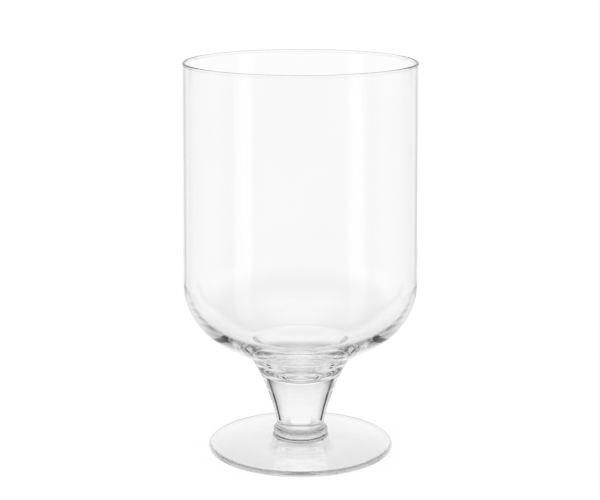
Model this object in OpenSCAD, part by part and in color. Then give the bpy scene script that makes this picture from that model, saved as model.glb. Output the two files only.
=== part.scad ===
// Hurricane glass in clear glass: a nearly straight-sided bowl with a deep round bottom, on a
// short solid stem with a soft collar and a round foot. Everything is turned about one axis.
// The four pieces are formed hot and fused where their flat faces meet.
// The origin is on the axis at the table that the foot rests on, and +Z goes up to the rim.

/* [Foot] */
// Diameter over the round edge of the foot
foot_d = 73.2; // [60:0.2:90]
// Thickness of the foot at its round edge
edge_t = 2.35; // [1.6:0.05:3.2]
// Height of the foot where the collar sits on it
foot_h = 5.2; // [4.2:0.1:6]
// Radius of the hollow that eases the collar's side into the foot
seat_fillet_r = 0.2; // [0.1:0.1:1]
// Slope of the foot's top at the end of that hollow, in degrees
seat_slope = 9; // [9:1:25]
// Radius of the hollow sweep that runs from there out on to the cone of the foot
foot_sweep_r = 25; // [12:1:40]
// Width of the flat ring that the glass stands on
rest_w = 1.4; // [0.6:0.1:4]
// Height of the domed hollow under the foot, on the axis
hollow_h = 1.8; // [0.6:0.1:2.6]

/* [Collar] */
// Height of the collar between the foot and the stem
collar_h = 0.9; // [0.7:0.1:1.6]
// How far the collar's round side stands out past the notch above it
collar_proud = 0.6; // [0.4:0.1:1.2]
// Radius of the collar's round side
collar_side_r = 1.1; // [0.9:0.1:2]

/* [Stem] */
// Height of the stem between the collar and the bowl
stem_h = 21.4; // [16:0.2:40]
// Diameter of the stem at its waist
waist_d = 18.8; // [12:0.2:26]
// Height of the waist above the stem's lower end
waist_h = 4.1; // [3.4:0.1:6]
// Diameter of the stem's head, where the bowl joins it
head_d = 29.2; // [22:0.2:36]
// Radius of the long hollow curve from the waist up to the bowl
stem_sweep_r = 80; // [50:1:140]
// How far the round bead at the stem's lower end stands out past the waist
bead_proud = 1.4; // [0.8:0.1:2.4]
// Radius of that bead's side
bead_r = 1.8; // [1.2:0.1:2.4]
// Radius of the hollow flare between the waist and the bead
flare_r = 2; // [1:0.1:4]
// Depth of the notch between the bead and the collar
notch_depth = 0.4; // [0.2:0.05:0.8]

/* [Bowl] */
// Height of the bowl from its joint with the stem up to the top of the rim
bowl_h = 126.5; // [100:0.5:180]
// Diameter over the bead of the rim
rim_d = 90; // [76:0.5:104]
// Largest diameter of the bowl, at the top of its shoulder
bowl_d = 91.5; // [82:0.5:104]
// Thickness of the side wall
wall_t = 1.15; // [0.8:0.05:2]
// Radius of the shoulder between the side and the round bottom, outside
shoulder_r = 24.8; // [18:0.2:30]
// How much tighter the shoulder is inside, where the glass thickens
shoulder_gain = 2.3; // [1.6:0.1:3.5]
// Radius of the round bottom, outside
bottom_r = 60; // [50:0.5:80]
// Height of the pole of that round bottom above the joint with the stem
bottom_rise = 8; // [6:0.1:12]
// Radius of the fillet between the round bottom and the stem's curve
fillet_r = 3.2; // [1.5:0.1:6]
// Thickness between the poles of the outer and the inner round bottom
bottom_t = 2.95; // [2:0.05:4.5]
// How much smaller the radius of the round bottom is inside
bottom_gain = 1; // [0:0.1:2]
// Radius of the small well in the middle of the bottom
well_r = 19.5; // [14:0.5:26]
// Thickness left under the well, above the joint with the stem
well_floor_t = 2.3; // [1:0.1:4]
// Radius that eases the edge of the well
well_edge_r = 14; // [2:0.5:20]
// How far the bead of the rim stands out past the wall, outside
lip_out = 0.1; // [0.05:0.05:0.6]
// How far the bead of the rim stands out past the wall, inside
lip_in = 0.05; // [0.05:0.05:0.9]
// Radius of the hollow that eases the bead of the rim into the wall
lip_blend_r = 2; // [1:0.5:14]

/* [Hidden] */

// How far a chord may lie from its true curve
curve_sag = 0.004;
$fn = 128;

// Heights of the joints and of the rim
collar_z = foot_h;
stem_z = collar_z + collar_h;
bowl_z = stem_z + stem_h;
rim_z = bowl_z + bowl_h;

// A point of an outline is [distance from the axis, height].
// The point at distance da from a and db from b, to the right of the way from a to b
function meet(a, da, b, db) =
    let (
        way = b - a,
        far = norm(way),
        run = (da ^ 2 - db ^ 2 + far ^ 2) / (2 * far),
        off = sqrt(da ^ 2 - run ^ 2)
    )
    a + (way * run + [way.y, -way.x] * off) / far;

// The point where a straight line from p touches the circle of radius r round c
function tangent(c, r, p) = meet(c, r, p, sqrt(norm(p - c) ^ 2 - r ^ 2));

// The point of the circle of radius r round c that lies towards p
function towards(c, r, p) = c + (p - c) * r / norm(p - c);

// The points of the arc round c that turns the short way from p to q, without q itself
function bend(c, p, q) =
    let (
        r = norm(p - c),
        from = atan2(p.y - c.y, p.x - c.x),
        turn = (atan2(q.y - c.y, q.x - c.x) - from + 540) % 360 - 180,
        count = ceil(abs(turn) / (2 * acos(1 - curve_sag / r)))
    )
    [for (i = [0 : count - 1]) c + r * [cos(from + turn * i / count), sin(from + turn * i / count)]];

// Stem: a long hollow curve through the head and the waist, a flare and an end bead
head = [head_d / 2, bowl_z];
waist = [waist_d / 2, stem_z + waist_h];
sweep_c = meet(waist, stem_sweep_r, head, stem_sweep_r);
notch = [waist.x + bead_proud - notch_depth, stem_z];
bead_c = [waist.x + bead_proud - bead_r, stem_z + sqrt(notch_depth * (2 * bead_r - notch_depth))];
flare_c = meet(sweep_c, stem_sweep_r - flare_r, bead_c, bead_r + flare_r);
flare_top = towards(sweep_c, stem_sweep_r, flare_c);
flare_end = towards(bead_c, bead_r, flare_c);

// Collar: its round side goes through the notch and down to the seat on the foot
collar_c = [
    notch.x + collar_proud - collar_side_r,
    stem_z - sqrt(collar_proud * (2 * collar_side_r - collar_proud))
];
seat = [collar_c.x + sqrt(collar_side_r ^ 2 - (collar_z - collar_c.y) ^ 2), collar_z];

// Foot: a small fillet, a hollow sweep, a straight cone and a round edge, over a domed hollow
edge_c = [foot_d / 2 - edge_t / 2, edge_t / 2];
seat_rise = [sin(seat_slope), cos(seat_slope)];
seat_fillet_c = seat + (seat - collar_c) * seat_fillet_r / collar_side_r;
seat_fillet_end = seat_fillet_c - seat_fillet_r * seat_rise;
foot_sweep_c = seat_fillet_end + foot_sweep_r * seat_rise;
cone_mid = foot_sweep_c + (edge_c - foot_sweep_c) * foot_sweep_r / (foot_sweep_r + edge_t / 2);
cone_top = tangent(foot_sweep_c, foot_sweep_r, cone_mid);
cone_end = tangent(edge_c, edge_t / 2, cone_mid);
edge_out = edge_c + [edge_t / 2, 0];
rest_in = [edge_c.x - rest_w, 0];
hollow_top = [0, hollow_h];
hollow_c = [0, (hollow_h ^ 2 - rest_in.x ^ 2) / (2 * hollow_h)];

// Rim: a bead that is thicker than the wall on both sides and eases into it
lip_r = (lip_out + wall_t + lip_in) / 2;
lip_c = [rim_d / 2 - lip_r, rim_z - lip_r];
lip_top = [lip_c.x, rim_z];
lip_reach = lip_r + lip_blend_r;
blend_out_c = lip_c + [lip_reach - lip_out, -sqrt(lip_out * (2 * lip_reach - lip_out))];
blend_in_c = lip_c - [lip_reach - lip_in, sqrt(lip_in * (2 * lip_reach - lip_in))];
lip_out_end = towards(lip_c, lip_r, blend_out_c);
lip_in_end = towards(lip_c, lip_r, blend_in_c);

// Centre of the shoulder of radius r that touches both the side at distance side from the axis
// and the round bottom of radius big round c
function shoulder_centre(side, r, c, big) = [side - r, c.y - sqrt((big - r) ^ 2 - (side - r) ^ 2)];

// Bowl, outside: shoulder, round bottom, fillet and the stem's own curve
bottom_c = [0, bowl_z + bottom_rise + bottom_r];
shoulder_c = shoulder_centre(bowl_d / 2, shoulder_r, bottom_c, bottom_r);
wall_mid = blend_out_c + (shoulder_c - blend_out_c) * lip_blend_r / (lip_blend_r + shoulder_r);
wall_out = tangent(blend_out_c, lip_blend_r, wall_mid);
shoulder_top = tangent(shoulder_c, shoulder_r, wall_mid);
shoulder_end = towards(bottom_c, bottom_r, shoulder_c);
fillet_c = meet(bottom_c, bottom_r + fillet_r, sweep_c, stem_sweep_r - fillet_r);
fillet_top = towards(bottom_c, bottom_r, fillet_c);
fillet_end = towards(sweep_c, stem_sweep_r, fillet_c);

// Bowl, inside: shoulder, round bottom and the well
in_bottom_r = bottom_r - bottom_gain;
in_bottom_c = [0, bowl_z + bottom_rise + bottom_t + in_bottom_r];
in_shoulder_r = shoulder_r - shoulder_gain;
in_shoulder_c = shoulder_centre(bowl_d / 2 - wall_t, in_shoulder_r, in_bottom_c, in_bottom_r);
wall_apex = blend_in_c + (blend_in_c - in_shoulder_c) * lip_blend_r / (in_shoulder_r - lip_blend_r);
wall_in = tangent(blend_in_c, lip_blend_r, wall_apex);
in_shoulder_top = tangent(in_shoulder_c, in_shoulder_r, wall_apex);
in_shoulder_end = towards(in_bottom_c, in_bottom_r, in_shoulder_c);
well_low = [0, bowl_z + well_floor_t];
well_c = well_low + [0, well_r];
well_edge_c = meet(well_c, well_r + well_edge_r, in_bottom_c, in_bottom_r + well_edge_r);
well_edge_top = towards(in_bottom_c, in_bottom_r, well_edge_c);
well_edge_end = towards(well_c, well_r, well_edge_c);

// Blown bowl: from the well up the inside, over the rim and down the outside to the stem
module bowl() {
    inside = concat(
        bend(well_c, well_low, well_edge_end),
        bend(well_edge_c, well_edge_end, well_edge_top),
        bend(in_bottom_c, well_edge_top, in_shoulder_end),
        bend(in_shoulder_c, in_shoulder_end, in_shoulder_top),
        [in_shoulder_top]
    );
    rim = concat(
        bend(blend_in_c, wall_in, lip_in_end),
        bend(lip_c, lip_in_end, lip_top),
        bend(lip_c, lip_top, lip_out_end),
        bend(blend_out_c, lip_out_end, wall_out),
        [wall_out]
    );
    outside = concat(
        bend(shoulder_c, shoulder_top, shoulder_end),
        bend(bottom_c, shoulder_end, fillet_top),
        bend(fillet_c, fillet_top, fillet_end),
        bend(sweep_c, fillet_end, head),
        [head, [0, bowl_z]]
    );
    color("azure", 0.5) rotate_extrude() polygon(concat(inside, rim, outside));
}

// Solid stem, from the bowl down to the notch
module stem() {
    side = concat(
        bend(sweep_c, head, flare_top),
        bend(flare_c, flare_top, flare_end),
        bend(bead_c, flare_end, notch),
        [notch]
    );
    color("lightcyan", 0.5) rotate_extrude() polygon(concat([[0, bowl_z]], side, [[0, stem_z]]));
}

// Solid collar, a low ring with a round side
module collar() {
    side = concat(bend(collar_c, notch, seat), [seat]);
    color("powderblue", 0.5) rotate_extrude() polygon(concat([[0, stem_z]], side, [[0, collar_z]]));
}

// Foot: a flat cone with a round edge, hollowed underneath so that it stands on a ring
module foot() {
    top = concat(
        [[0, collar_z]],
        bend(seat_fillet_c, seat, seat_fillet_end),
        bend(foot_sweep_c, seat_fillet_end, cone_top),
        [cone_top]
    );
    edge = concat(bend(edge_c, cone_end, edge_out), bend(edge_c, edge_out, [edge_c.x, 0]), [[edge_c.x, 0]]);
    under = concat(bend(hollow_c, rest_in, hollow_top), [hollow_top]);
    color("aliceblue", 0.5) rotate_extrude() polygon(concat(top, edge, under));
}

bowl();
stem();
collar();
foot();
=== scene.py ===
"""Hurricane glass: a clear stemmed glass in four fused pieces, with its floor, studio and camera."""

import math

import bpy
import numpy as np
from bpy.props import FloatProperty, FloatVectorProperty, IntProperty, PointerProperty
from bpy.types import Operator, Panel, PropertyGroup
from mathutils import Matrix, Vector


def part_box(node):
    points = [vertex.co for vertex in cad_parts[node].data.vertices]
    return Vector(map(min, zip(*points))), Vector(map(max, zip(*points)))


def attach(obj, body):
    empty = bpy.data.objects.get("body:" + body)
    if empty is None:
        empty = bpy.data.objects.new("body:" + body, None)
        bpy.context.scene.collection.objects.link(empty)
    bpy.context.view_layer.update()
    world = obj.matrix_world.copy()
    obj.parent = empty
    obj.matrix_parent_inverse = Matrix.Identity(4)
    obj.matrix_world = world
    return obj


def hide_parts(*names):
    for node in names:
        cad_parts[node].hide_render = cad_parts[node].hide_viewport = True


bl_info = {
    "name": "Hurricane Glass",
    "version": (1, 0, 0),
    "blender": (4, 5, 0),
    "location": "View3D > Sidebar > Glass",
    "description": "Makes a clear stemmed glass from the sizes of its bowl, stem, collar and foot",
    "category": "Object",
}

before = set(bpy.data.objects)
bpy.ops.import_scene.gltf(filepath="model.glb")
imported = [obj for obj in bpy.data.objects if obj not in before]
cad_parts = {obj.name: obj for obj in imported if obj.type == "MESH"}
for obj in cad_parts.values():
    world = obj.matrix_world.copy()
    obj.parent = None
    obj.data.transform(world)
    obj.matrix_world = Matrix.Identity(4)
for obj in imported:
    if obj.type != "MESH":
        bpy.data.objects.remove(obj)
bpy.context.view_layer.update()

MM = 0.001
# Material slots of a piece: its outer surface, and its joint with the next piece
OUTSIDE, JOINT = 0, 1
# Steps along the long straight parts of the outlines
WALL_STEPS = 16
CONE_STEPS = 8
# Points along each side of the floor's grid, and how brightly the floor glows by itself
FLOOR_POINTS = 9
FLOOR_GLOW = 0.95
# Width of the camera's sensor, in millimetres
SENSOR_WIDTH = 36


def base(node):
    """Height of a CAD node's lowest point, in metres."""
    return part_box(node)[0].z


def top(node):
    """Height of a CAD node's highest point, in metres."""
    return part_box(node)[1].z


def length(name, description, default):
    """A size in metres, shown in the scene's unit."""
    return FloatProperty(
        name=name, description=description, default=default, min=0.0, unit="LENGTH", precision=5
    )


def linear(code):
    """Linear colour with alpha 1 from an sRGB hex code such as "f4f8f8"."""
    values = [int(code[i:i + 2], 16) / 255 for i in (0, 2, 4)]
    return [v / 12.92 if v <= 0.04045 else ((v + 0.055) / 1.055) ** 2.4 for v in values] + [1.0]


class BowlSizes(PropertyGroup):
    """Sizes of the blown bowl."""

    joint_z: length("Joint height", "Height of the joint with the stem", base("bowl"))
    rim_z: length("Rim height", "Height of the top of the rim", top("bowl"))
    rim_d: length("Rim diameter", "Diameter over the bead of the rim", 90 * MM)
    bowl_d: length("Bowl diameter", "Largest diameter, at the top of the shoulder", 91.5 * MM)
    wall_t: length("Wall", "Thickness of the side wall", 1.15 * MM)
    shoulder_r: length("Shoulder radius", "Outside, between the side and the round bottom", 24.8 * MM)
    shoulder_gain: length("Shoulder gain", "How much tighter the shoulder is inside", 2.3 * MM)
    bottom_r: length("Bottom radius", "Radius of the round bottom, outside", 60 * MM)
    bottom_rise: length("Bottom rise", "Height of the bottom's pole above the joint with the stem", 8 * MM)
    fillet_r: length("Fillet radius", "Between the round bottom and the stem's curve", 3.2 * MM)
    bottom_t: length("Bottom thickness", "Between the poles of the outer and the inner bottom", 2.95 * MM)
    bottom_gain: length("Bottom gain", "How much smaller the bottom's radius is inside", 1 * MM)
    well_r: length("Well radius", "Radius of the small well in the bottom", 19.5 * MM)
    well_floor_t: length("Well floor", "Thickness left under the well", 2.3 * MM)
    well_edge_r: length("Well edge radius", "Radius that eases the edge of the well", 14 * MM)
    lip_out: length("Lip outside", "How far the rim's bead stands out past the wall, outside", 0.1 * MM)
    lip_in: length("Lip inside", "How far the rim's bead stands out past the wall, inside", 0.05 * MM)
    lip_blend_r: length("Lip blend radius", "Radius that eases the bead of the rim into the wall", 2 * MM)


class StemSizes(PropertyGroup):
    """Sizes of the drawn stem."""

    joint_z: length("Joint height", "Height of the stem's lower end", base("stem"))
    head_d: length("Head diameter", "Where the bowl joins the stem", 29.2 * MM)
    waist_d: length("Waist diameter", "At the narrowest place", 18.8 * MM)
    waist_h: length("Waist height", "Above the stem's lower end", 4.1 * MM)
    sweep_r: length("Sweep radius", "Radius of the long hollow curve of the stem", 80 * MM)
    bead_proud: length("Bead width", "How far the end bead stands out past the waist", 1.4 * MM)
    bead_r: length("Bead radius", "Radius of the end bead's side", 1.8 * MM)
    flare_r: length("Flare radius", "Between the waist and the bead", 2 * MM)
    notch_depth: length("Notch depth", "Between the bead and the collar", 0.4 * MM)


class CollarSizes(PropertyGroup):
    """Sizes of the collar."""

    seat_z: length("Seat height", "Height of the collar's joint with the foot", base("collar"))
    proud: length("Width", "How far the collar stands out past the notch above it", 0.6 * MM)
    side_r: length("Side radius", "Radius of the collar's round side", 1.1 * MM)


class FootSizes(PropertyGroup):
    """Sizes of the foot."""

    foot_d: length("Diameter", "Over the round edge", 73.2 * MM)
    edge_t: length("Edge thickness", "At the round edge", 2.35 * MM)
    seat_fillet_r: length("Seat fillet", "Radius of the hollow that eases the collar into the foot", 0.2 * MM)
    seat_slope: FloatProperty(
        name="Seat slope",
        description="Slope of the foot's top beside the collar",
        default=math.radians(9),
        subtype="ANGLE",
    )
    sweep_r: length("Sweep radius", "Hollow sweep from the collar out on to the cone", 25 * MM)
    rest_w: length("Rest ring", "Width of the flat ring that the glass stands on", 1.4 * MM)
    hollow_h: length("Hollow height", "Height of the domed hollow under the foot", 1.8 * MM)


class GlassLook(PropertyGroup):
    """How the glass looks and how finely it is meshed."""

    clear: FloatVectorProperty(
        name="Clear colour",
        description="Colour that the glass lets through",
        subtype="COLOR",
        size=3,
        default=linear("ffffff")[:3],
    )
    streak: FloatVectorProperty(
        name="Streak colour",
        description="Colour that the faint streaks in the glass let through",
        subtype="COLOR",
        size=3,
        default=linear("fdfdfd")[:3],
    )
    ior: FloatProperty(name="IOR", description="Index of refraction", default=1.5, min=1.0, max=2.0)
    spokes: IntProperty(name="Spokes", description="Steps round the axis", default=256, min=24)
    sag: length("Sag", "How far a chord may lie from its true curve", 0.002 * MM)


class StudioSettings(PropertyGroup):
    """The camera and the studio around the glass."""

    lens: FloatProperty(name="Lens", description="Focal length", default=97.77, unit="CAMERA")
    distance: length("Distance", "From the glass's axis to the camera, level", 619.7 * MM)
    height: length("Height", "Height of the camera above the table", 223 * MM)
    aside: FloatProperty(
        name="Aside",
        description="Camera's offset along X",
        default=-0.19 * MM,
        unit="LENGTH",
    )
    pitch: FloatProperty(
        name="Pitch",
        description="How far the camera looks down",
        default=math.radians(12.96),
        subtype="ANGLE",
    )
    floor_half: length("Floor", "Half the width of the pale floor", 4)
    floor_drop: length("Floor drop", "Clearance between the foot and the floor", 0.05 * MM)


# A point of an outline is [distance from the axis, height]. An outline runs with the glass on its
# right, so its left side is the surface, and a stroke is an array of rows [r, z, normal r, normal z].


def point(r, z):
    """A point of the outline, as an array."""
    return np.array([r, z], float)


def meet(a, da, b, db):
    """The point at distance da from a and db from b, to the right of the way from a to b."""
    way = b - a
    far = np.hypot(*way)
    run = (da ** 2 - db ** 2 + far ** 2) / (2 * far)
    off = math.sqrt(da ** 2 - run ** 2)
    return a + (way * run + point(way[1], -way[0]) * off) / far


def tangent(c, r, p):
    """The point where a straight line from p touches the circle of radius r round c."""
    return meet(c, r, p, math.sqrt(np.sum((p - c) ** 2) - r ** 2))


def towards(c, r, p):
    """The point of the circle of radius r round c that lies towards p."""
    return c + (p - c) * r / np.hypot(*(p - c))


def bend(c, p, q, sag):
    """Stroke along an arc: c plus the radius times (cos t, sin t), with t going the short way from
    p's angle to q's in even steps, few enough that a chord lies within sag of the curve."""
    r = np.hypot(*(p - c))
    start = math.atan2(p[1] - c[1], p[0] - c[0])
    turn = (math.atan2(q[1] - c[1], q[0] - c[0]) - start + math.pi) % math.tau - math.pi
    count = math.ceil(abs(turn) / (2 * math.acos(1 - sag / r)))
    t = start + np.linspace(0, turn, count + 1)
    out = np.stack([np.cos(t), np.sin(t)], axis=1)
    rows = np.hstack([c + r * out, -np.sign(turn) * out])
    rows[0, :2] = p
    rows[-1, :2] = q
    return rows


def straight(p, q, steps=1):
    """Stroke along a line: p plus t times (q - p), t going from 0 to 1, with one normal throughout."""
    way = (q - p) / np.hypot(*(q - p))
    t = np.linspace(0, 1, steps + 1)[:, None]
    return np.hstack([p + t * (q - p), np.tile([-way[1], way[0]], (steps + 1, 1))])


def shoulder_centre(side, r, c, big):
    """Centre of the shoulder of radius r that touches both the side, at distance side from the
    axis, and the round bottom of radius big round c."""
    return point(side - r, c[1] - math.sqrt((big - r) ** 2 - (side - r) ** 2))


def stem_outline(scene):
    """The stem's points: a long hollow curve through the head and the waist, then a flare that
    touches both it and the bead, whose circle passes through the notch."""
    s, joint = scene.glass_stem, scene.glass_bowl.joint_z
    o = {"head": point(s.head_d / 2, joint), "top": point(0, joint), "low": point(0, s.joint_z)}
    waist = point(s.waist_d / 2, s.joint_z + s.waist_h)
    o["sweep_c"] = meet(waist, s.sweep_r, o["head"], s.sweep_r)
    out = waist[0] + s.bead_proud
    drop = math.sqrt(s.notch_depth * (2 * s.bead_r - s.notch_depth))
    o["notch"] = point(out - s.notch_depth, s.joint_z)
    o["bead_c"] = point(out - s.bead_r, s.joint_z + drop)
    o["flare_c"] = meet(o["sweep_c"], s.sweep_r - s.flare_r, o["bead_c"], s.bead_r + s.flare_r)
    o["flare_top"] = towards(o["sweep_c"], s.sweep_r, o["flare_c"])
    o["flare_end"] = towards(o["bead_c"], s.bead_r, o["flare_c"])
    return o


def collar_outline(scene):
    """The collar's points: its side is one circle, from the notch out and down to the seat."""
    s = scene.glass_collar
    notch = stem_outline(scene)["notch"]
    drop = math.sqrt(s.proud * (2 * s.side_r - s.proud))
    c = point(notch[0] + s.proud - s.side_r, notch[1] - drop)
    seat = point(c[0] + math.sqrt(s.side_r ** 2 - (s.seat_z - c[1]) ** 2), s.seat_z)
    return {"notch": notch, "centre": c, "seat": seat}


def foot_strokes(scene):
    """The foot's outline from the axis: its seat, a hollow sweep, a straight cone that touches both
    the sweep and the round edge, the flat ring that it rests on and the domed hollow."""
    s, sag = scene.glass_foot, scene.glass_look.sag
    collar = collar_outline(scene)
    seat = collar["seat"]
    fillet_c = seat + (seat - collar["centre"]) * s.seat_fillet_r / scene.glass_collar.side_r
    edge_r = s.edge_t / 2
    edge_c = point(s.foot_d / 2 - edge_r, edge_r)
    rise = point(math.sin(s.seat_slope), math.cos(s.seat_slope))
    fillet_end = fillet_c - s.seat_fillet_r * rise
    sweep_c = fillet_end + s.sweep_r * rise
    middle = sweep_c + (edge_c - sweep_c) * s.sweep_r / (s.sweep_r + edge_r)
    cone_top, cone_end = tangent(sweep_c, s.sweep_r, middle), tangent(edge_c, edge_r, middle)
    edge_out, edge_low = edge_c + point(edge_r, 0), point(edge_c[0], 0)
    rest_in, hollow_top = point(edge_c[0] - s.rest_w, 0), point(0, s.hollow_h)
    hollow_c = point(0, (s.hollow_h ** 2 - rest_in[0] ** 2) / (2 * s.hollow_h))
    seat_disc = straight(point(0, seat[1]), seat)
    side = [
        bend(fillet_c, seat, fillet_end, sag),
        bend(sweep_c, fillet_end, cone_top, sag),
        straight(cone_top, cone_end, CONE_STEPS),
        bend(edge_c, cone_end, edge_out, sag),
        bend(edge_c, edge_out, edge_low, sag),
        straight(edge_low, rest_in),
        bend(hollow_c, rest_in, hollow_top, sag),
    ]
    return [(seat_disc, JOINT)] + [(stroke, OUTSIDE) for stroke in side]


def collar_strokes(scene):
    """The collar's outline from the axis: its top, its round side and its underside."""
    o, sag = collar_outline(scene), scene.glass_look.sag
    return [
        (straight(point(0, o["notch"][1]), o["notch"]), JOINT),
        (bend(o["centre"], o["notch"], o["seat"], sag), OUTSIDE),
        (straight(o["seat"], point(0, o["seat"][1])), JOINT),
    ]


def stem_strokes(scene):
    """The stem's outline from the axis: its top, the long curve, the flare, the bead and its end."""
    o, sag = stem_outline(scene), scene.glass_look.sag
    return [
        (straight(o["top"], o["head"]), JOINT),
        (bend(o["sweep_c"], o["head"], o["flare_top"], sag), OUTSIDE),
        (bend(o["flare_c"], o["flare_top"], o["flare_end"], sag), OUTSIDE),
        (bend(o["bead_c"], o["flare_end"], o["notch"], sag), OUTSIDE),
        (straight(o["notch"], o["low"]), JOINT),
    ]


def bowl_strokes(scene):
    """The bowl's outline from the axis: the well, the inner bottom, shoulder and wall, the bead of
    the rim, and the outer wall, shoulder and bottom, a fillet and the head of the stem's curve."""
    s, stem, sag = scene.glass_bowl, stem_outline(scene), scene.glass_look.sag
    sweep_r = scene.glass_stem.sweep_r
    lip_r = (s.lip_out + s.wall_t + s.lip_in) / 2
    lip_c = point(s.rim_d / 2 - lip_r, s.rim_z - lip_r)
    lip_top = lip_c + point(0, lip_r)
    ease_r = s.lip_blend_r
    reach = lip_r + ease_r
    ease_out_c = lip_c + point(reach - s.lip_out, -math.sqrt(s.lip_out * (2 * reach - s.lip_out)))
    ease_in_c = lip_c - point(reach - s.lip_in, math.sqrt(s.lip_in * (2 * reach - s.lip_in)))
    lip_out, lip_in = towards(lip_c, lip_r, ease_out_c), towards(lip_c, lip_r, ease_in_c)
    c = point(0, s.joint_z + s.bottom_rise + s.bottom_r)
    shoulder_c = shoulder_centre(s.bowl_d / 2, s.shoulder_r, c, s.bottom_r)
    middle = ease_out_c + (shoulder_c - ease_out_c) * ease_r / (ease_r + s.shoulder_r)
    wall_out = tangent(ease_out_c, ease_r, middle)
    shoulder_top = tangent(shoulder_c, s.shoulder_r, middle)
    shoulder_end = towards(c, s.bottom_r, shoulder_c)
    fillet_c = meet(c, s.bottom_r + s.fillet_r, stem["sweep_c"], sweep_r - s.fillet_r)
    fillet_top = towards(c, s.bottom_r, fillet_c)
    fillet_end = towards(stem["sweep_c"], sweep_r, fillet_c)
    in_r = s.bottom_r - s.bottom_gain
    in_c = point(0, s.joint_z + s.bottom_rise + s.bottom_t + in_r)
    in_shoulder_r = s.shoulder_r - s.shoulder_gain
    in_shoulder_c = shoulder_centre(s.bowl_d / 2 - s.wall_t, in_shoulder_r, in_c, in_r)
    beyond = ease_in_c + (ease_in_c - in_shoulder_c) * ease_r / (in_shoulder_r - ease_r)
    wall_in = tangent(ease_in_c, ease_r, beyond)
    in_shoulder_top = tangent(in_shoulder_c, in_shoulder_r, beyond)
    in_shoulder_end = towards(in_c, in_r, in_shoulder_c)
    well_low = point(0, s.joint_z + s.well_floor_t)
    well_c = well_low + point(0, s.well_r)
    edge_c = meet(well_c, s.well_r + s.well_edge_r, in_c, in_r + s.well_edge_r)
    edge_top, edge_end = towards(in_c, in_r, edge_c), towards(well_c, s.well_r, edge_c)
    side = [
        bend(well_c, well_low, edge_end, sag),
        bend(edge_c, edge_end, edge_top, sag),
        bend(in_c, edge_top, in_shoulder_end, sag),
        bend(in_shoulder_c, in_shoulder_end, in_shoulder_top, sag),
        straight(in_shoulder_top, wall_in, WALL_STEPS),
        bend(ease_in_c, wall_in, lip_in, sag),
        bend(lip_c, lip_in, lip_top, sag),
        bend(lip_c, lip_top, lip_out, sag),
        bend(ease_out_c, lip_out, wall_out, sag),
        straight(wall_out, shoulder_top, WALL_STEPS),
        bend(shoulder_c, shoulder_top, shoulder_end, sag),
        bend(c, shoulder_end, fillet_top, sag),
        bend(fillet_c, fillet_top, fillet_end, sag),
        bend(stem["sweep_c"], fillet_end, stem["head"], sag),
    ]
    return [(stroke, OUTSIDE) for stroke in side] + [(straight(stem["head"], stem["top"]), JOINT)]


def turned(name, strokes, materials, spokes):
    """A mesh object turned from an outline that starts and ends on the axis. The point at row k and
    spoke j is (r cos a, r sin a, z), with a = j times a full turn over the spokes, and each corner
    keeps its own stroke's normal, turned by the same angle, so true edges stay crisp."""
    rows = np.vstack([strokes[0][0][:1, :2]] + [stroke[1:, :2] for stroke, _ in strokes])
    start = np.vstack([stroke[:-1, 2:] for stroke, _ in strokes])
    end = np.vstack([stroke[1:, 2:] for stroke, _ in strokes])
    slots = np.concatenate([np.full(len(stroke) - 1, slot) for stroke, slot in strokes])
    a = np.arange(spokes + 1) * math.tau / spokes
    cos, sin = np.cos(a), np.sin(a)
    rings = rows[1:-1]
    r, z = rings[:, :1], rings[:, 1:]
    ring_points = np.stack([r * cos[:-1], r * sin[:-1], z + 0 * cos[:-1]], axis=2).reshape(-1, 3)
    verts = np.vstack([ring_points, [0, 0, rows[0, 1]], [0, 0, rows[-1, 1]]])
    j = np.arange(spokes)
    k = np.arange(len(rings) - 1)[:, None]
    here, there = k * spokes + j, k * spokes + (j + 1) % spokes
    quads = np.stack([here, here + spokes, there + spokes, there], axis=2).reshape(-1, 4)
    last = (len(rings) - 1) * spokes
    first_pole, last_pole = np.full(spokes, len(verts) - 2), np.full(spokes, len(verts) - 1)
    first_fan = np.stack([first_pole, j, (j + 1) % spokes], axis=1)
    last_fan = np.stack([last + j, last_pole, last + (j + 1) % spokes], axis=1)
    mesh = bpy.data.meshes.new(name)
    mesh.from_pydata(verts, [], quads.tolist() + first_fan.tolist() + last_fan.tolist())

    def corner(normals, first):
        """Normals of one corner of each face in a band, from spoke first on."""
        n = np.atleast_2d(normals)
        c, s = cos[first:first + spokes], sin[first:first + spokes]
        return np.stack([n[:, :1] * c, n[:, :1] * s, n[:, 1:] + 0 * c], axis=2)

    middle = [corner(start[1:-1], 0), corner(end[1:-1], 0), corner(end[1:-1], 1), corner(start[1:-1], 1)]
    first_normals = [corner(start[0], 0), corner(end[0], 0), corner(end[0], 1)]
    last_normals = [corner(start[-1], 0), corner(end[-1], 0), corner(start[-1], 1)]
    groups = [np.stack(group, axis=2).reshape(-1, 3) for group in (middle, first_normals, last_normals)]
    mesh.polygons.foreach_set("use_smooth", np.ones(len(mesh.polygons), bool))
    face_slots = np.concatenate([np.repeat(slots[1:-1], spokes), np.repeat(slots[[0, -1]], spokes)])
    for material in materials:
        mesh.materials.append(material)
    mesh.polygons.foreach_set("material_index", face_slots.astype(np.int32))
    mesh.normals_split_custom_set(np.vstack(groups))
    mesh.update()
    piece = bpy.data.objects.new(name, mesh)
    bpy.context.scene.collection.objects.link(piece)
    return piece


def live(node):
    """A node's first output that is in use."""
    return next(output for output in node.outputs if output.enabled)


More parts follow.
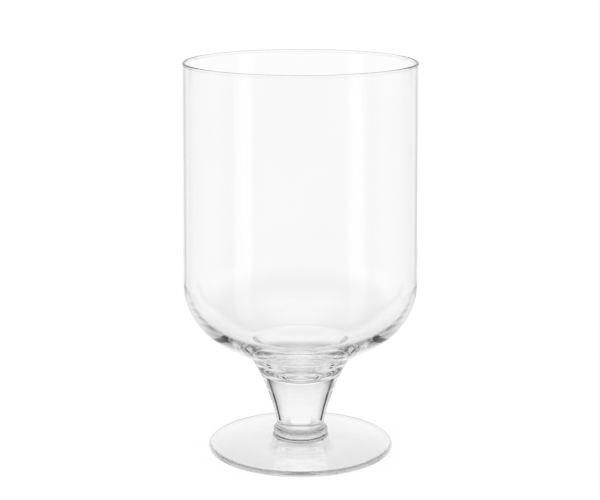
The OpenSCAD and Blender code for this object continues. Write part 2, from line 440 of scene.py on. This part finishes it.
def add(tree, kind, values=None, links=None, **fields):
    """Adds a node of that kind, sets its fields and its input values, and links its inputs to other
    nodes. An input is given by its identifier or its number, and a source by a node or an output."""
    node = tree.nodes.new(kind)
    for field, value in fields.items():
        setattr(node, field, value)
    sockets = dict(enumerate(node.inputs))
    sockets.update({s.identifier: s for s in node.inputs})
    for key, value in (values or {}).items():
        sockets[key].default_value = value
    for key, source in (links or {}).items():
        tree.links.new(live(source) if isinstance(source, bpy.types.Node) else source, sockets[key])
    return node


def glass(name, scene, ripple, depth, stretch):
    """Clear soda-lime glass. It passes nearly all light; slow ripples, as long as ripple and as deep
    as depth, in metres, drawn out by stretch along the axis, bend what shows through it a little."""
    look = scene.glass_look
    material = bpy.data.materials.new(name)
    material.use_nodes = True
    tree = material.node_tree
    shader = tree.nodes["Principled BSDF"]
    shader.inputs["Transmission Weight"].default_value = 1.0
    shader.inputs["IOR"].default_value = look.ior
    shader.inputs["Roughness"].default_value = 0.0
    spot = add(tree, "ShaderNodeTexCoord")
    mapped = add(
        tree,
        "ShaderNodeMapping",
        {"Scale": (1.0, 1.0, 1.0 / stretch)},
        {"Vector": spot.outputs["Object"]},
    )
    noise = add(
        tree,
        "ShaderNodeTexNoise",
        {"Scale": 1.0 / ripple, "Detail": 1.0, "Roughness": 0.4},
        {"Vector": mapped.outputs["Vector"]},
    )
    bump = add(tree, "ShaderNodeBump", {"Strength": 1.0, "Distance": depth}, {"Height": noise.outputs["Fac"]})
    tree.links.new(bump.outputs["Normal"], shader.inputs["Normal"])
    tint = add(
        tree,
        "ShaderNodeMix",
        {"A_Color": (*look.clear, 1.0), "B_Color": (*look.streak, 1.0)},
        {"Factor_Float": noise.outputs["Fac"]},
        data_type="RGBA",
    )
    tree.links.new(live(tint), shader.inputs["Base Color"])
    return material


def fused_glass():
    """The joint between two fused pieces. No surface is left there, so light goes straight on."""
    material = bpy.data.materials.get("fused_glass_joint") or bpy.data.materials.new("fused_glass_joint")
    material.use_nodes = True
    material.node_tree.nodes["Principled BSDF"].inputs["Alpha"].default_value = 0.0
    return material


def place(piece, node):
    """Hangs a finished piece under the root body and hides the CAD node that it stands for."""
    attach(piece, "root")
    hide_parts(node)


class GLASS_OT_bowl(Operator):
    """Make the blown bowl"""

    bl_idname = "glass.bowl"
    bl_label = "Bowl"

    def execute(self, context):
        scene = context.scene
        # Blown soda-lime glass, fire polished: very smooth, with long faint waves
        blown = glass("blown_soda_lime_glass", scene, 22 * MM, 0.02 * MM, 2.0)
        finishes = [blown, fused_glass()]
        piece = turned("bowl_glass", bowl_strokes(scene), finishes, scene.glass_look.spokes)
        place(piece, "bowl")
        return {"FINISHED"}


class GLASS_OT_stem(Operator):
    """Make the solid stem"""

    bl_idname = "glass.stem"
    bl_label = "Stem"

    def execute(self, context):
        scene = context.scene
        # Drawn soda-lime glass: smooth, with faint streaks along the stem
        drawn = glass("drawn_soda_lime_glass", scene, 6 * MM, 0.01 * MM, 4.0)
        finishes = [drawn, fused_glass()]
        piece = turned("stem_glass", stem_strokes(scene), finishes, scene.glass_look.spokes)
        place(piece, "stem")
        return {"FINISHED"}


class GLASS_OT_collar(Operator):
    """Make the low collar"""

    bl_idname = "glass.collar"
    bl_label = "Collar"

    def execute(self, context):
        scene = context.scene
        # Tooled soda-lime glass: fire polished, a little uneven where it was squeezed hot
        tooled = glass("tooled_soda_lime_glass", scene, 4 * MM, 0.01 * MM, 1.0)
        finishes = [tooled, fused_glass()]
        piece = turned("collar_glass", collar_strokes(scene), finishes, scene.glass_look.spokes)
        place(piece, "collar")
        return {"FINISHED"}


class GLASS_OT_foot(Operator):
    """Make the round foot"""

    bl_idname = "glass.foot"
    bl_label = "Foot"

    def execute(self, context):
        scene = context.scene
        # Pressed soda-lime glass, fire polished: smooth, with broad shallow waves from the mould
        pressed = glass("pressed_soda_lime_glass", scene, 14 * MM, 0.015 * MM, 1.0)
        finishes = [pressed, fused_glass()]
        piece = turned("foot_glass", foot_strokes(scene), finishes, scene.glass_look.spokes)
        place(piece, "foot")
        return {"FINISHED"}


# Grey levels of the studio by direction. By degrees round from the backdrop, low down: the backdrop
# and its shaded edge, the pale walls, a softbox at each side of the camera and the dimmer room behind
# it. The same above eye level: a wider backdrop, a narrow dark flag at each side of it and the walls.
# One goes over into the other between the two heights of EYE_LEVEL. By degrees up from straight down:
# the table and its rim, the walls, and the dark ceiling with a pale opening in its middle.
LOW = [(0, 1.0), (15, 1.0), (18, 0.68), (25, 0.68), (30, 0.85), (92, 0.8), (100, 0.66), (112, 0.66),
       (114, 1.05), (130, 1.05), (132, 0.7), (180, 0.7)]
HIGH = [(0, 1.0), (26, 1.0), (34, 0.82), (41, 0.6), (42, 0.02), (49, 0.02), (50, 0.8), (62, 0.8),
        (72, 1.0), (92, 1.05), (125, 1.05), (130, 0.7), (180, 0.7)]
EYE_LEVEL = (83, 87)
HEIGHT = [(0, 0.94), (28, 0.8), (42, 0.62), (50, 0.8), (56, 1.0), (84, 1.0), (96, 0.91), (105, 0.82),
          (111, 0.5), (118, 0.03), (120, 0.0), (140, 0.0), (152, 0.35), (162, 0.8), (180, 0.9)]
# Light is mirrored many times along a glass wall, and crosses the fused joints, before it leaves
BOUNCES = 128


def level_ramp(tree, stops, share):
    """A ramp that gives the studio's grey level for a share of 0 to 1 of half a turn."""
    ramp = add(tree, "ShaderNodeValToRGB", links={"Fac": share})
    elements = ramp.color_ramp.elements
    while len(elements) < len(stops):
        elements.new(0.5)
    for element, (degrees, level) in zip(elements, stops):
        element.position = degrees / 180
        element.color = (level, level, level, 1.0)
    return ramp.outputs["Color"]


def make_world(scene):
    """The studio, by direction, and plain white for the camera."""
    world = bpy.data.worlds.new("studio")
    scene.world = world
    world.use_nodes = True
    tree = world.node_tree
    background = tree.nodes["Background"]
    ray = add(tree, "ShaderNodeTexCoord")
    axes = add(tree, "ShaderNodeSeparateXYZ", links={"Vector": ray.outputs["Generated"]})
    turn = add(
        tree,
        "ShaderNodeMath",
        links={0: axes.outputs["X"], 1: axes.outputs["Y"]},
        operation="ARCTAN2",
    )
    aside = add(tree, "ShaderNodeMath", links={0: turn.outputs[0]}, operation="ABSOLUTE")
    azimuth = add(tree, "ShaderNodeMath", {1: math.pi}, {0: aside.outputs[0]}, operation="DIVIDE")
    low = level_ramp(tree, LOW, azimuth.outputs[0])
    high = level_ramp(tree, HIGH, azimuth.outputs[0])
    down = add(tree, "ShaderNodeMath", {1: -1.0}, {0: axes.outputs["Z"]}, operation="MULTIPLY")
    rise = add(tree, "ShaderNodeMath", links={0: down.outputs[0]}, operation="ARCCOSINE")
    share = add(tree, "ShaderNodeMath", {1: math.pi}, {0: rise.outputs[0]}, operation="DIVIDE")
    height = level_ramp(tree, HEIGHT, share.outputs[0])
    above = add(
        tree,
        "ShaderNodeMapRange",
        {"From Min": EYE_LEVEL[0] / 180, "From Max": EYE_LEVEL[1] / 180},
        {"Value": share.outputs[0]},
    )
    level = add(
        tree,
        "ShaderNodeMix",
        links={"Factor_Float": above.outputs["Result"], "A_Color": low, "B_Color": high},
        data_type="RGBA",
    )
    level = add(
        tree,
        "ShaderNodeMix",
        {"Factor_Float": 1.0},
        {"A_Color": level, "B_Color": height},
        data_type="RGBA",
        blend_type="MULTIPLY",
    )
    path = add(tree, "ShaderNodeLightPath")
    seen = add(
        tree,
        "ShaderNodeMix",
        {"B_Color": linear("ffffff")},
        {"Factor_Float": path.outputs["Is Camera Ray"], "A_Color": level},
        data_type="RGBA",
    )
    tree.links.new(live(seen), background.inputs["Color"])


def make_floor(scene):
    """A pale floor just under the foot. The camera sees it white with the glass's soft shadow, and
    light that has passed through the glass goes on to the studio below."""
    s = scene.glass_studio
    line = np.linspace(-1, 1, FLOOR_POINTS) * s.floor_half
    x, y = np.meshgrid(line, line)
    verts = np.stack([x.ravel(), y.ravel(), np.full(x.size, -s.floor_drop)], axis=1)
    cells = np.arange(FLOOR_POINTS - 1)
    corner = (cells[:, None] * FLOOR_POINTS + cells).ravel()
    beyond = corner + FLOOR_POINTS
    faces = np.stack([corner, corner + 1, beyond + 1, beyond], axis=1)
    mesh = bpy.data.meshes.new("floor")
    mesh.from_pydata(verts, [], faces.tolist())
    material = bpy.data.materials.new("white_acrylic_floor")
    material.use_nodes = True
    tree = material.node_tree
    tree.nodes.clear()
    output = add(tree, "ShaderNodeOutputMaterial")
    glow = add(tree, "ShaderNodeEmission", {"Color": linear("ffffff"), "Strength": FLOOR_GLOW})
    matt = add(tree, "ShaderNodeBsdfDiffuse", {"Color": linear("7c7c7c")})
    lit = add(tree, "ShaderNodeAddShader", links={0: glow.outputs[0], 1: matt.outputs[0]})
    path = add(tree, "ShaderNodeLightPath")
    either = add(
        tree,
        "ShaderNodeMath",
        links={0: path.outputs["Is Transmission Ray"], 1: path.outputs["Is Glossy Ray"]},
        operation="MAXIMUM",
    )
    passed = add(tree, "ShaderNodeBsdfTransparent")
    mix = add(
        tree,
        "ShaderNodeMixShader",
        links={0: either.outputs[0], 1: lit.outputs[0], 2: passed.outputs[0]},
    )
    tree.links.new(mix.outputs[0], output.inputs["Surface"])
    mesh.materials.append(material)
    floor = bpy.data.objects.new("floor", mesh)
    scene.collection.objects.link(floor)


def make_camera(scene):
    """The camera, in front of the glass and looking down on it a little."""
    s = scene.glass_studio
    data = bpy.data.cameras.new("camera")
    data.lens = s.lens
    data.sensor_width = SENSOR_WIDTH
    camera = bpy.data.objects.new("camera", data)
    camera.location = (s.aside, -s.distance, s.height)
    camera.rotation_euler = (math.pi / 2 - s.pitch, 0, 0)
    scene.collection.objects.link(camera)
    scene.camera = camera


class GLASS_OT_stage(Operator):
    """Make the floor, the studio and the camera"""

    bl_idname = "glass.stage"
    bl_label = "Stage"

    def execute(self, context):
        scene = context.scene
        scene.view_settings.view_transform = "Standard"
        scene.cycles.max_bounces = BOUNCES
        scene.cycles.glossy_bounces = BOUNCES
        scene.cycles.transmission_bounces = BOUNCES
        scene.cycles.transparent_max_bounces = BOUNCES
        make_world(scene)
        make_floor(scene)
        make_camera(scene)
        return {"FINISHED"}


class GLASS_PT_panel(Panel):
    """The sidebar panel that lists the glass's pieces and sizes."""

    bl_label = "Hurricane Glass"
    bl_space_type = "VIEW_3D"
    bl_region_type = "UI"
    bl_category = "Glass"

    def draw(self, context):
        layout = self.layout
        for operator in ("glass.stage", "glass.foot", "glass.collar", "glass.stem", "glass.bowl"):
            layout.operator(operator)
        for name in GROUPS:
            group = getattr(context.scene, name)
            box = layout.box()
            for key in group.bl_rna.properties.keys():
                if key not in ("rna_type", "name"):
                    box.prop(group, key)


GROUPS = {
    "glass_bowl": BowlSizes,
    "glass_stem": StemSizes,
    "glass_collar": CollarSizes,
    "glass_foot": FootSizes,
    "glass_look": GlassLook,
    "glass_studio": StudioSettings,
}
CLASSES = (*GROUPS.values(), GLASS_OT_bowl, GLASS_OT_stem, GLASS_OT_collar, GLASS_OT_foot, GLASS_OT_stage,
           GLASS_PT_panel)


def register():
    for cls in CLASSES:
        bpy.utils.register_class(cls)
    for name, group in GROUPS.items():
        setattr(bpy.types.Scene, name, PointerProperty(type=group))


def unregister():
    for name in GROUPS:
        delattr(bpy.types.Scene, name)
    for cls in reversed(CLASSES):
        bpy.utils.unregister_class(cls)


def main():
    """Makes the stage and the pieces."""
    register()
    bpy.ops.glass.stage()
    bpy.ops.glass.foot()
    bpy.ops.glass.collar()
    bpy.ops.glass.stem()
    bpy.ops.glass.bowl()


if __name__ == "__main__":
    main()
